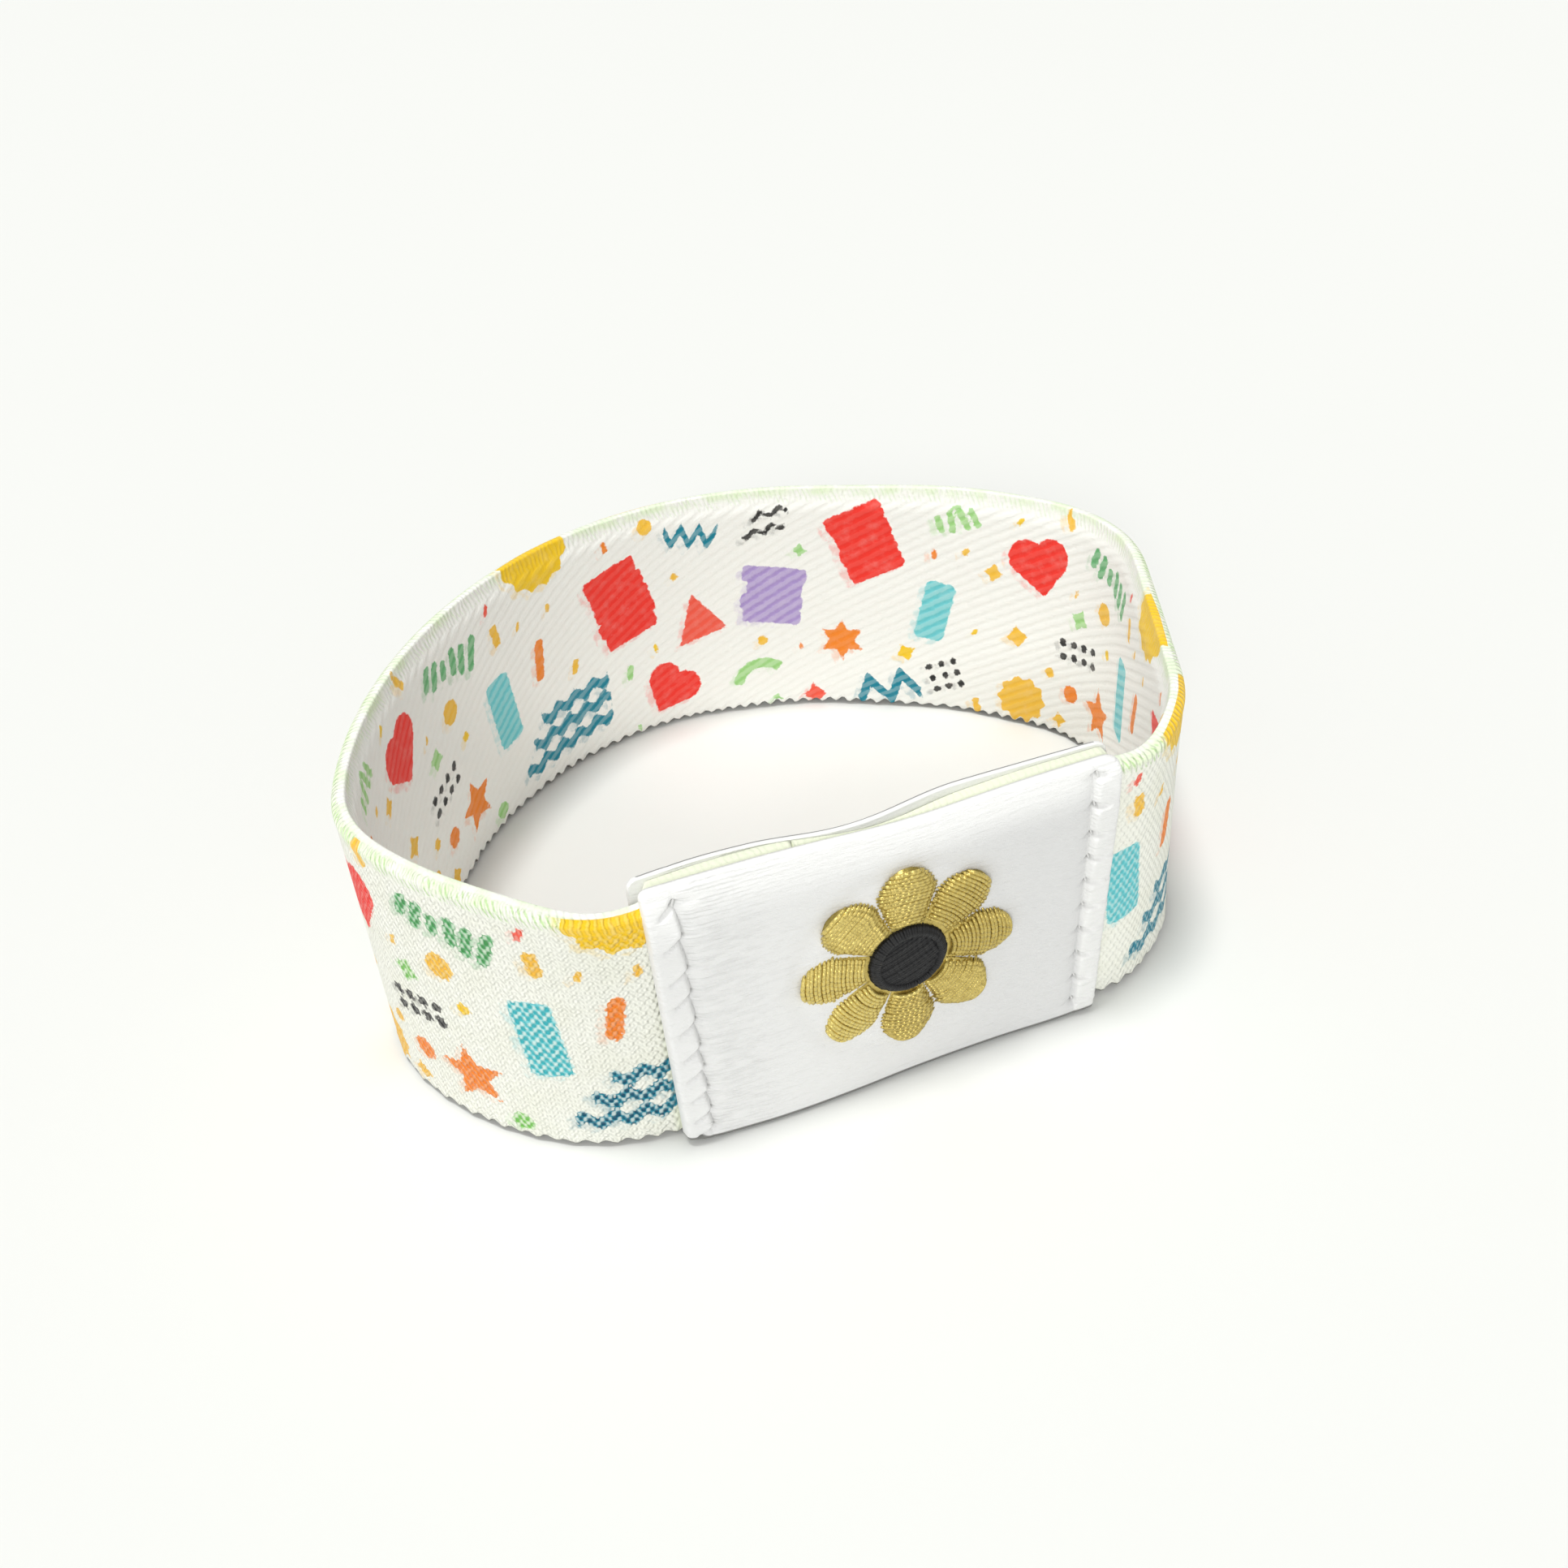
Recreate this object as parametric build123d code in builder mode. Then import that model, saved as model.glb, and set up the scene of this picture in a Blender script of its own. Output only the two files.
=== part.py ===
"""Stretch wristband: a woven elastic strap whose two ends lie between two sewn label panels.

Millimetres, +Z up. The band rests on its lower edge, with the label facing -Y and the origin
under the middle of the whole wristband.
"""
from build123d import *

import os
from math import atan, copysign, cos, degrees, radians, sin

# Strap
STRAP_HEIGHT = 20.0
STRAP_WALL = 1.3
STRAP_ROUNDING = 0.35
STRAP_REACH = 8.9  # how far the strap's left end goes into the label
STRAP_GAP = 8.5  # between the strap's two ends, inside the label

# Label panels
LABEL_LENGTH = 28.8
LABEL_WALL = 1.0
LABEL_CORNER = 1.2
LABEL_ROUNDING = 0.3
LABEL_OVERHANG = 0.6  # how far the label's left end lies past the straight front run
FRONT_PANEL_HEIGHT = 20.8
BACK_PANEL_HEIGHT = 20.4

# Embroidered flower on the front panel
FLOWER_DIAMETER = 14.0
FLOWER_OFFSET = 0.8  # to the right of the label's middle
PETAL_COUNT = 8
PETAL_WIDTH = 4.0
PETAL_HEIGHT = 0.5
CENTRE_DIAMETER = 5.2
CENTRE_HEIGHT = 0.7
CENTRE_ROUNDING = 0.3
RING_WIDTH = 0.6  # of the ring that joins the petals round the centre

# Clearances
PANEL_CLEARANCE = 0.1  # between the strap and each label panel
PINCH_CLEARANCE = 0.2  # between the two panels where the back one dips to the front one
END_CLEARANCE = 0.4  # along the strap, from its end to the start of the dip
CENTRE_CLEARANCE = 0.1  # between the flower's centre and its petals

# Radius of the bend in front, left of the label. The other bends are shares of it.
BEND_RADIUS = 25.0

# The strap's outer face, seen from above, starts with the straight front run under the label
# and goes round through these bends. The last bend makes up the full turn.
# name, radius as a share of BEND_RADIUS, turn in degrees
BENDS = [
    ("front_right", 0.38, 67),
    ("back_right", 0.40, 65),
    ("back", 1.12, 18),
    ("back_left", 1.02, 63),
    ("left", 1.42, 44),
    ("front_left", 0.36, 39),
    ("front", 1.00, 21),
]
LAST_BEND_SHARE = 0.50
SIDE_RUN_AFTER = "front_right"
BACK_RUN_AFTER = "back"

FULL_TURN = 360


def full_loop():
    """All the bends as name, radius and turn, with the last one closing the turn."""
    bends = [(name, share * BEND_RADIUS, turn) for name, share, turn in BENDS]
    last_turn = FULL_TURN - sum(turn for _, _, turn in BENDS)
    return bends + [("label_left", LAST_BEND_SHARE * BEND_RADIUS, last_turn)]


def unit(angle):
    """The direction at an angle in degrees from +X."""
    return Vector(cos(radians(angle)), sin(radians(angle)))


def bend_step(radius, start, turn):
    """From one end of a bend to the other, for a heading of start degrees."""
    left = unit(start + 90)
    return left * radius - left.rotate(Axis.Z, turn) * radius


def closing_runs(front_run):
    """Lengths of the straight side and back runs that bring the loop back to its start."""
    travel = unit(0) * front_run
    heading = 0
    heading_after = {}
    for name, radius, turn in full_loop():
        travel += bend_step(radius, heading, turn)
        heading += turn
        heading_after[name] = heading
    side = unit(heading_after[SIDE_RUN_AFTER])
    back = unit(heading_after[BACK_RUN_AFTER])
    spread = side.cross(back).Z
    return -travel.cross(back).Z / spread, travel.cross(side).Z / spread


def trail(start, rows, last_run, inset=0.0):
    """Draws runs and bends from start, first along +X, moved to the left by inset.

    Each row is a straight run and the bend after it: length, radius and turn.
    Returns the point where the line ends.
    """
    spot = start + unit(90) * inset
    heading = 0
    for run, radius, turn in rows:
        if run:
            spot = Line(spot, spot + unit(heading) * run) @ 1
        inset_radius = radius - copysign(inset, turn)
        spot = JernArc(start=spot, tangent=unit(heading), radius=inset_radius, arc_size=turn) @ 1
        heading += turn
    return Line(spot, spot + unit(heading) * last_run) @ 1


def wall(start, rows, last_run, thickness):
    """Draws a wall of even thickness, with the trail as its right-hand face."""
    near_end = trail(start, rows, last_run)
    far_end = trail(start, rows, last_run, thickness)
    Line(start, start + unit(90) * thickness)
    Line(near_end, far_end)


# Plan places, with x from the start of the straight front run and y from the strap's outer face
front_run = LABEL_LENGTH - LABEL_OVERHANG
side_run, back_run = closing_runs(front_run)
strap_left_end = STRAP_REACH - LABEL_OVERHANG
strap_right_end = strap_left_end + STRAP_GAP
label_back_face = -PANEL_CLEARANCE
label_front_face = label_back_face - LABEL_WALL
flower_face = label_front_face - CENTRE_HEIGHT

run_before = {"front_right": front_run - strap_right_end, "back_right": side_run, "back_left": back_run}
strap_rows = [(run_before.get(name, 0), radius, turn) for name, radius, turn in full_loop()]
strap_start = Vector(strap_right_end, 0)

with BuildLine() as outer_line:
    trail(strap_start, strap_rows, strap_left_end)
outline = outer_line.line.bounding_box()
middle_x = (outline.min.X + outline.max.X) / 2
middle_y = (flower_face + outline.max.Y) / 2
plan = Plane(origin=(-middle_x, -middle_y, 0))
label_middle_x = -LABEL_OVERHANG + LABEL_LENGTH / 2 - middle_x

# Elastic strap: an open loop, upright on its lower edge
with BuildPart() as elastic_strap:
    with BuildSketch(plan):
        with BuildLine():
            wall(strap_start, strap_rows, strap_left_end, STRAP_WALL)
        make_face()
    extrude(amount=STRAP_HEIGHT)
    rims = elastic_strap.faces().filter_by(Axis.Z).edges()
    cut_ends = elastic_strap.faces().filter_by(Axis.X).edges()
    fillet(rims - cut_ends, STRAP_ROUNDING)

# Front panel of the label: flat, with rounded corners and a soft outer border
front_plane = Plane(
    origin=(label_middle_x, label_back_face - middle_y, FRONT_PANEL_HEIGHT / 2),
    x_dir=(1, 0, 0),
    z_dir=(0, -1, 0),
)
with BuildPart() as label_front:
    with BuildSketch(front_plane):
        RectangleRounded(LABEL_LENGTH, FRONT_PANEL_HEIGHT, LABEL_CORNER)
    extrude(amount=LABEL_WALL)
    fillet(label_front.faces().sort_by(Axis.Y)[0].edges(), LABEL_ROUNDING)

# Back panel of the label: lies on the strap's inner face and dips to the front panel between the ends
dip_depth = STRAP_WALL + 2 * PANEL_CLEARANCE - PINCH_CLEARANCE
dip_half_length = STRAP_GAP / 2 - END_CLEARANCE
dip_turn = 2 * degrees(atan(dip_depth / dip_half_length))
dip_radius = dip_half_length / (2 * sin(radians(dip_turn)))
dip_rows = [
    (STRAP_REACH + END_CLEARANCE, dip_radius, -dip_turn),
    (0, dip_radius, 2 * dip_turn),
    (0, dip_radius, -dip_turn),
]
last_flat = LABEL_LENGTH - STRAP_REACH - STRAP_GAP + END_CLEARANCE
back_start = Vector(-LABEL_OVERHANG, STRAP_WALL + PANEL_CLEARANCE)
with BuildPart() as label_back:
    with BuildSketch(plan):
        with BuildLine():
            wall(back_start, dip_rows, last_flat, LABEL_WALL)
        make_face()
    extrude(amount=BACK_PANEL_HEIGHT)
    fillet(label_back.edges().filter_by(Axis.Y), LABEL_CORNER)

# Flower: raised petals round a raised centre, both seated on the front panel
flower_plane = Plane(
    origin=(label_middle_x + FLOWER_OFFSET, label_front_face - middle_y, FRONT_PANEL_HEIGHT / 2),
    x_dir=(1, 0, 0),
    z_dir=(0, -1, 0),
)
centre_radius = CENTRE_DIAMETER / 2
petal_length = FLOWER_DIAMETER / 2 - centre_radius
petal_middle = centre_radius + petal_length / 2
with BuildPart() as flower_petals:
    with BuildSketch(flower_plane):
        with PolarLocations(petal_middle, PETAL_COUNT):
            Ellipse(petal_length / 2, PETAL_WIDTH / 2)
        Circle(centre_radius + CENTRE_CLEARANCE + RING_WIDTH)
        Circle(centre_radius + CENTRE_CLEARANCE, mode=Mode.SUBTRACT)
    extrude(amount=PETAL_HEIGHT)

with BuildPart() as flower_centre:
    with BuildSketch(flower_plane):
        Circle(centre_radius)
    extrude(amount=CENTRE_HEIGHT)
    fillet(flower_centre.faces().sort_by(Axis.Y)[0].edges(), CENTRE_ROUNDING)

pieces = {
    "elastic_strap": elastic_strap,
    "label_front": label_front,
    "label_back": label_back,
    "flower_petals": flower_petals,
    "flower_centre": flower_centre,
}
os.makedirs("parts", exist_ok=True)
for name, piece in pieces.items():
    piece.part.label = name
    export_step(piece.part, f"parts/{name}.step")
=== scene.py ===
import cmath
from collections import namedtuple
from math import cos, pi, radians, sin, tan

import bpy
import numpy as np
from mathutils import Matrix, Vector


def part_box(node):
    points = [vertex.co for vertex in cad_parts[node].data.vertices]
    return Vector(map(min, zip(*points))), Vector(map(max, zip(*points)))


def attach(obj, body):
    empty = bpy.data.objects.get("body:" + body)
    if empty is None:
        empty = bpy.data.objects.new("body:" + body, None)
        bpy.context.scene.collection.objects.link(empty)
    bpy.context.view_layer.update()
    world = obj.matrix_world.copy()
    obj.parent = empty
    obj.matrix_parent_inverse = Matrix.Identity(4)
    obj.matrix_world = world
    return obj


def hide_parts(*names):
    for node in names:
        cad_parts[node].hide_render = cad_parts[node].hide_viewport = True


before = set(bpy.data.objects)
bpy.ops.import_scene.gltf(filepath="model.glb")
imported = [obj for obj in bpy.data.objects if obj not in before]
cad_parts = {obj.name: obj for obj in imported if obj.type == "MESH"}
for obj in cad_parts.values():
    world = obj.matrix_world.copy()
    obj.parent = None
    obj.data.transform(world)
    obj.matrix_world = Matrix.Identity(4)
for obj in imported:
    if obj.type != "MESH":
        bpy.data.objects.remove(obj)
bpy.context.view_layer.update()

MM = 0.001
NOISE_SIZE = 64
FAR = 1e9

# Strap sizes, as in the CAD part
STRAP_HEIGHT = 20.0
STRAP_WALL = 1.3
STRAP_REACH = 8.9
STRAP_GAP = 8.5
LABEL_LENGTH = 28.8
LABEL_OVERHANG = 0.6
FRONT_PANEL_HEIGHT = 20.8
BACK_PANEL_HEIGHT = 20.4
BEND_RADIUS = 25.0
FULL_TURN = 360

# Bends of the strap's outer face, as in the CAD part: name, share of BEND_RADIUS, turn in degrees
BENDS = [
    ("front_right", 0.38, 67),
    ("back_right", 0.40, 65),
    ("back", 1.12, 18),
    ("back_left", 1.02, 63),
    ("left", 1.42, 44),
    ("front_left", 0.36, 39),
    ("front", 1.00, 21),
]
LAST_BEND_SHARE = 0.50
FRONT_RUN = LABEL_LENGTH - LABEL_OVERHANG
STRAP_LEFT_END = STRAP_REACH - LABEL_OVERHANG
STRAP_RIGHT_END = STRAP_LEFT_END + STRAP_GAP

# Finish of the strap, in millimetres
COLUMN_PITCH = 0.245
ROW_PITCH = 0.29
PLAN_STEP = 0.05
BEND_EASING = 3.0  # length over which the elastic eases into a bend
TOP_ROUNDING = 0.6
CREST_INSET = 0.16  # of the top edge's highest line from the inner face
EDGE_THINNING = 0.28  # share of the wall that the inner face draws in at the top edge
BOTTOM_ROUNDING = 0.35
SCALLOP_PITCH = 1.175
SCALLOP_DEPTH = 0.50
SCALLOP_FADE = 1.8
SELVEDGE = 1.3  # height of the firmer zone below the top edge
SAG_LEFT = 0.9
SAG_RIGHT = 0.6
END_TO_END = 0.12  # between the strap's two ends, which lie closer here than in the CAD part
PANEL_CLEARANCE = 0.06  # between the strap and the back panel
EDGE_RISE = 0.30  # of the strap's top edge inside the label
RISE_LOST_IN_SAG = 0.42  # where the label hangs lowest
RISE_LOST_AT_LEFT = 0.25
SAG_LEAN = 0.7  # outwards, for each millimetre that the top edge sags
FOOT_WOBBLE = 0.05
BEAD = 0.04  # how far the selvedge stands out
GROOVE = 0.02  # below it
SLOW_RELIEF = 0.035
FOOT_SWELL = 0.05

# Where the wall stands out of its plan, in millimetres: place along the strap, reach, size
TOP_BULGES = [(57.5, 6.0, 0.5)]
FOOT_BULGES = [
    (13.8, 3.0, 0.38), (24.0, 6.0, 1.05), (49.0, 5.0, -0.6),
    (72.5, 4.5, -0.35), (106.0, 4.0, -0.4), (131.0, 5.0, 0.2),
]

# The strap is pressed thin between the sewn panels, deepest in the middle
DIP_HALF_LENGTH = 6.5
DIP_DEPTH = 0.74
TOP_PRESS = 0.30  # how much nearer the panels lie at the strap's top than at its foot
LABEL_SAG_PLACE = 15.5  # from the label's left border, where its top edge hangs lowest
LABEL_SAG_REACH = 6.0

PRINT_REPEAT = 62.0
INNER_PRINT_SHIFT = 23.0
OUTER_PRINT_SHIFT = 4.4
GHOST_SHIFT = (0.55, 0.40)  # a pale second print, a little out of place

# Colours, linear
CREAM = (0.95, 0.955, 0.87)
CREAM_SHADE = (0.92, 0.925, 0.82)
# painted light: the inner face is given a paler cream than the outer one
INSIDE_PAINTED_LIGHT_CREAM = (0.965, 0.97, 0.925)
SEWN_IN_CREAM = (0.85, 0.89, 0.71)
# painted shade for the weave's gaps
WEAVE_GAP_PAINTED_SHADE = (0.62, 0.62, 0.50)
# painted contact shadow, laid on the strap's lowest edge
FOOT_PAINTED_SHADOW = (0.10, 0.095, 0.08)
SELVEDGE_GREEN = (0.38, 0.66, 0.20)
SELVEDGE_TINT = (0.72, 0.93, 0.50)
RED = (0.93, 0.042, 0.028)
CORAL = (0.93, 0.115, 0.07)
ORANGE = (0.93, 0.26, 0.025)
GOLD_YELLOW = (0.94, 0.56, 0.06)
YELLOW = (0.95, 0.62, 0.02)
CYAN = (0.19, 0.66, 0.70)
TEAL = (0.015, 0.27, 0.37)
LILAC = (0.47, 0.36, 0.68)
GREEN = (0.17, 0.50, 0.22)
LIGHT_GREEN = (0.40, 0.72, 0.28)
INK_BLACK = (0.035, 0.035, 0.035)


def mix(low, high, share):
    return low * (1 - share) + high * share


def step_between(low, high, value):
    """0 below low, 1 above high, smooth in between."""
    share = np.clip((value - low) / (high - low), 0, 1)
    return share * share * (3 - 2 * share)


def bell(value, middle, reach):
    """1 in the middle, falling smoothly to 0 on both sides."""
    return np.exp(-(((value - middle) / reach) ** 2))


def unit(vectors):
    return vectors / np.linalg.norm(vectors, axis=-1, keepdims=True)


def value_noise(x, y, seed):
    """Smooth seeded noise from -1 to 1, with features one unit wide."""
    table = np.random.default_rng(seed).uniform(-1, 1, (NOISE_SIZE, NOISE_SIZE))
    x, y = np.broadcast_arrays(x, y)
    column = np.floor(x).astype(int)
    row = np.floor(y).astype(int)
    across = step_between(0, 1, x - column)
    right = (column + 1) % NOISE_SIZE
    left = column % NOISE_SIZE
    low = row % NOISE_SIZE
    high = (row + 1) % NOISE_SIZE
    lower = mix(table[low, left], table[low, right], across)
    upper = mix(table[high, left], table[high, right], across)
    return mix(lower, upper, step_between(0, 1, y - row))


def add_object(name, data):
    obj = bpy.data.objects.new(name, data)
    bpy.context.scene.collection.objects.link(obj)
    return obj


def add_mesh(name, points, faces, material):
    """A smooth mesh of points in millimetres, riding on the one body."""
    points = np.asarray(points, float)
    mesh = bpy.data.meshes.new(name)
    mesh.from_pydata((points * MM).tolist(), [], faces)
    mesh.shade_smooth()
    mesh.materials.append(material)
    obj = add_object(name, mesh)
    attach(obj, "root")
    return obj


def add_point_values(obj, name, values):
    """Stores a number or colour at each point of the mesh, for its material to read."""
    count = len(obj.data.vertices)
    if np.size(values) == count:
        attribute = obj.data.attributes.new(name, "FLOAT", "POINT")
        attribute.data.foreach_set("value", np.ravel(values).astype(np.float32))
        return
    colours = np.column_stack([np.reshape(values, (count, 3)), np.ones(count)])
    attribute = obj.data.attributes.new(name, "FLOAT_COLOR", "POINT")
    attribute.data.foreach_set("color", colours.ravel().astype(np.float32))


def add_uv(obj, name, across, up):
    """A UV map with one place per point."""
    corner_points = np.zeros(len(obj.data.loops), np.int32)
    obj.data.loops.foreach_get("vertex_index", corner_points)
    places = np.column_stack([np.ravel(across), np.ravel(up)])[corner_points]
    obj.data.uv_layers.new(name=name).data.foreach_set("uv", places.ravel().astype(np.float32))


def grid_quads(rows, columns, closed=False):
    """Quads over points numbered row by row, also from the last column to the first if closed."""
    last = columns if closed else columns - 1
    row, column = np.meshgrid(np.arange(rows - 1), np.arange(last), indexing="ij")
    here = row * columns + column
    beside = row * columns + (column + 1) % columns
    return np.stack([here, beside, beside + columns, here + columns], axis=-1).reshape(-1, 4)


# Plan of the strap

def all_bends():
    """Every bend of the outer face as name, radius and turn, the last one closing the turn."""
    bends = [(name, share * BEND_RADIUS, turn) for name, share, turn in BENDS]
    last_turn = FULL_TURN - sum(turn for _, _, turn in BENDS)
    return bends + [("label_left", LAST_BEND_SHARE * BEND_RADIUS, last_turn)]


def direction(angle):
    """The unit direction at an angle in degrees from +X, as a complex number."""
    return cmath.exp(1j * radians(angle))


def cross(a, b):
    return (a.conjugate() * b).imag


def closing_runs():
    """Lengths of the straight side and back runs that close the loop."""
    travel = complex(FRONT_RUN)
    heading = 0
    after = {}
    for name, radius, turn in all_bends():
        travel += radius * (direction(heading + turn) - direction(heading)) / 1j
        heading += turn
        after[name] = direction(heading)
    side = after["front_right"]
    back = after["back"]
    spread = cross(side, back)
    return -cross(travel, back) / spread, cross(travel, side) / spread


def strap_curve():
    """The strap's outer face from its right end round to its left end, easing into its bends.

    Returns distances along it, its points and its headings, with points as complex numbers.
    """
    side_run, back_run = closing_runs()
    run_before = {"front_right": FRONT_RUN - STRAP_RIGHT_END, "back_right": side_run, "back_left": back_run}
    lengths = []
    curvatures = []
    for name, radius, turn in all_bends():
        lengths += [run_before.get(name, 0), radius * radians(turn)]
        curvatures += [0, 1 / radius]
    lengths.append(STRAP_LEFT_END)
    curvatures.append(0)
    ends = np.cumsum(lengths)
    along = np.arange(PLAN_STEP / 2, ends[-1] - PLAN_STEP / 2, PLAN_STEP)
    curvature = np.array(curvatures)[np.searchsorted(ends, along)]
    window = np.ones(int(BEND_EASING / PLAN_STEP))
    window = np.convolve(window, window)
    curvature = np.convolve(curvature, window / window.sum(), mode="same")
    curvature *= 2 * pi / (curvature.sum() * PLAN_STEP)
    heading = np.concatenate([[0], np.cumsum(curvature) * PLAN_STEP])
    steps = np.exp(1j * (heading[1:] + heading[:-1]) / 2) * PLAN_STEP
    spots = STRAP_RIGHT_END + np.concatenate([[0], np.cumsum(steps)])
    distance = np.arange(len(spots)) * PLAN_STEP
    miss = spots[-1] - STRAP_LEFT_END
    spots = spots - miss * distance / distance[-1]
    return distance, spots, heading


# Places in the row frame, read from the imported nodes
strap_low, strap_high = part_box("elastic_strap")
label_low, label_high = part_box("label_front")
lining_low, lining_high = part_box("label_back")
petals_low, petals_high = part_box("flower_petals")
centre_low, centre_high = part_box("flower_centre")
ORIGIN_X = label_low.x / MM + LABEL_OVERHANG
ORIGIN_Y = strap_low.y / MM
FLOWER_MIDDLE = Vector((
    (petals_low.x + petals_high.x) / 2, petals_high.y, (petals_low.z + petals_high.z) / 2,
)) / MM
FLOWER_RADIUS = (petals_high.x - petals_low.x) / 2 / MM


# Print on the elastic. Each shape gives the distance in millimetres to its edge, positive inside.

def polygon(x, y, corners):
    corners = np.array(corners, float)
    nearest = np.full(x.shape, FAR)
    inside = np.zeros(x.shape, bool)
    for (ax, ay), (bx, by) in zip(corners, np.roll(corners, -1, axis=0)):
        run_x = bx - ax
        run_y = by - ay
        share = np.clip(((x - ax) * run_x + (y - ay) * run_y) / (run_x**2 + run_y**2), 0, 1)
        nearest = np.minimum(nearest, np.hypot(x - ax - share * run_x, y - ay - share * run_y))
        crosses = (ay > y) != (by > y)
        level = ax + (y - ay) * run_x / (run_y if run_y else 1e-9)
        inside ^= crosses & (x < level)
    return np.where(inside, nearest, -nearest)


def bar(x, y, width, height, rounding=0.4):
    over_x = np.abs(x) - width / 2 + rounding
    over_y = np.abs(y) - height / 2 + rounding
    outside = np.hypot(np.maximum(over_x, 0), np.maximum(over_y, 0))
    return rounding - outside - np.minimum(np.maximum(over_x, over_y), 0)


def disc(x, y, diameter):
    return diameter / 2 - np.hypot(x, y)


def scallop_disc(x, y, diameter, lobes, depth=0.08):
    rim = diameter / 2 * (1 - depth + depth * np.cos(lobes * np.arctan2(y, x)))
    return rim - np.hypot(x, y)


def heart(x, y, size):
    """A heart with its tip at the bottom, size across."""
    x = np.abs(x) / size * 1.2
    y = y / size * 1.2 + 0.55
    lobe = np.sqrt(2) / 4 - np.hypot(x - 0.25, y - 0.75)
    foot = np.maximum(x + y, 0) / 2
    side = np.minimum(np.hypot(x, y - 1), np.hypot(x - foot, y - foot)) * np.sign(y - x)
    return np.where(x + y > 1, lobe, side) * size / 1.2


def star(x, y, diameter, points=5, waist=0.45):
    corners = []
    for k in range(2 * points):
        reach = diameter / 2 * (1 if k % 2 == 0 else waist)
        angle = pi / 2 + pi * k / points
        corners.append((reach * cos(angle), reach * sin(angle)))
    return polygon(x, y, corners)


def dots(x, y, columns, rows, pitch, dot):
    """A grid of small dots."""
    column = np.clip(np.round(x / pitch + (columns - 1) / 2), 0, columns - 1) - (columns - 1) / 2
    row = np.clip(np.round(y / pitch + (rows - 1) / 2), 0, rows - 1) - (rows - 1) / 2
    return dot / 2 - np.hypot(x - column * pitch, y - row * pitch)


def waves(x, y, length, rows, pitch, line, ripple=1.9):
    """Rows of wavy brush lines."""
    lines = []
    for row in range(rows):
        off = row - (rows - 1) / 2
        level = y - off * pitch - 0.17 * pitch * np.sin(2 * pi * (x / ripple + 0.37 * row))
        reach = length / 2 * (1 - 0.13 * row) - np.abs(x - 0.8 * off)
        lines.append(np.minimum(line / 2 - np.abs(level) * 0.8, reach))
    return np.max(lines, axis=0)


def strokes(x, y, count, pitch, length, line, seed):
    """A row of short upright brush strokes of uneven length."""
    lines = []
    uneven = np.random.default_rng(seed).uniform(-1, 1, (count, 3))
    for k, (shift, lengthen, lean) in enumerate(uneven):
        centre = (k - (count - 1) / 2) * pitch + 0.15 * shift
        lean_x = x - centre - 0.18 * lean * y
        lines.append(bar(lean_x, y - 0.3 * shift, line, length * (1 + 0.3 * lengthen), line * 0.45))
    return np.max(lines, axis=0)


def zigzag(x, y, length, line, teeth):
    pitch = length / teeth
    fold = np.abs((x / pitch + 100.5) % 1 - 0.5) * 2
    level = y - (fold - 0.5) * pitch * 0.9
    return np.minimum(line / 2 - np.abs(level) * 0.72, length / 2 - np.abs(x))


def brush_patch(x, y, width, height, rows, seed):
    """A block of brush strokes side by side, with uneven rounded ends."""
    lines = []
    pitch = height / rows
    for row, (left, right) in enumerate(np.random.default_rng(seed).uniform(0, 1, (rows, 2))):
        start = width * (-0.5 + 0.10 * left)
        end = width * (0.5 - 0.07 * right)
        level = (row - (rows - 1) / 2) * pitch
        lines.append(bar(x - (start + end) / 2, y - level, end - start, pitch * 1.14, pitch * 0.28))
    return np.max(lines, axis=0)


def band(x, y, radius, line, half_angle):
    """A bent bar, as an arc of a ring."""
    ring = line / 2 - np.abs(np.hypot(x, y) - radius)
    angle = np.abs(np.arctan2(x, y))
    return np.minimum(ring, (radians(half_angle) - angle) * radius)


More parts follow.
